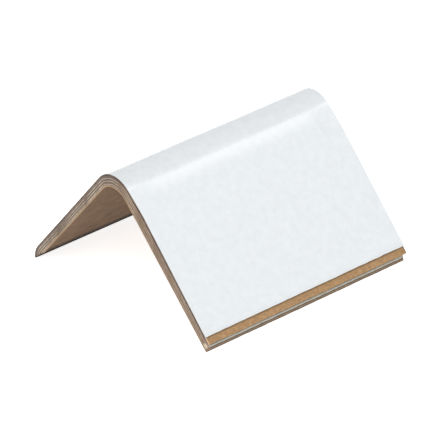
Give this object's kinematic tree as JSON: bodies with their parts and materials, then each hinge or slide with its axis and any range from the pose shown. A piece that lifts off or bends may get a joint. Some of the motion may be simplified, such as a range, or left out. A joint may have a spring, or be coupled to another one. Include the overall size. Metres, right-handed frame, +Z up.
{
  "type": "strapping corner protector",
  "caption": "Angle of laminated paperboard with a white outer face, laid over a pack's corner to spread the load of a tight strap.",
  "frame": {"origin": "centre of the footprint, on the surface that the two free edges stand on", "axes": "+Y along the ridge, +Z up, +X from the leg with the curled edge towards the leg with the stepped edge"},
  "size_m": [0.0652, 0.0636, 0.0349],
  "materials": {
    "white_coated_liner": "clay coated, semi gloss",
    "tan_kraft": "uncoated",
    "grey_chipboard": "uncoated, sawn edges",
    "brown_chipboard": "uncoated, sawn edges",
    "brown_kraft": "uncoated"
  },
  "bodies": {
    "root": {"white_liner": "white_coated_liner", "kraft_ply": "tan_kraft", "outer_board_ply": "grey_chipboard", "middle_board_ply": "brown_chipboard", "inner_board_ply": "brown_chipboard", "inner_liner": "brown_kraft"}
  },
  "joints": []
}
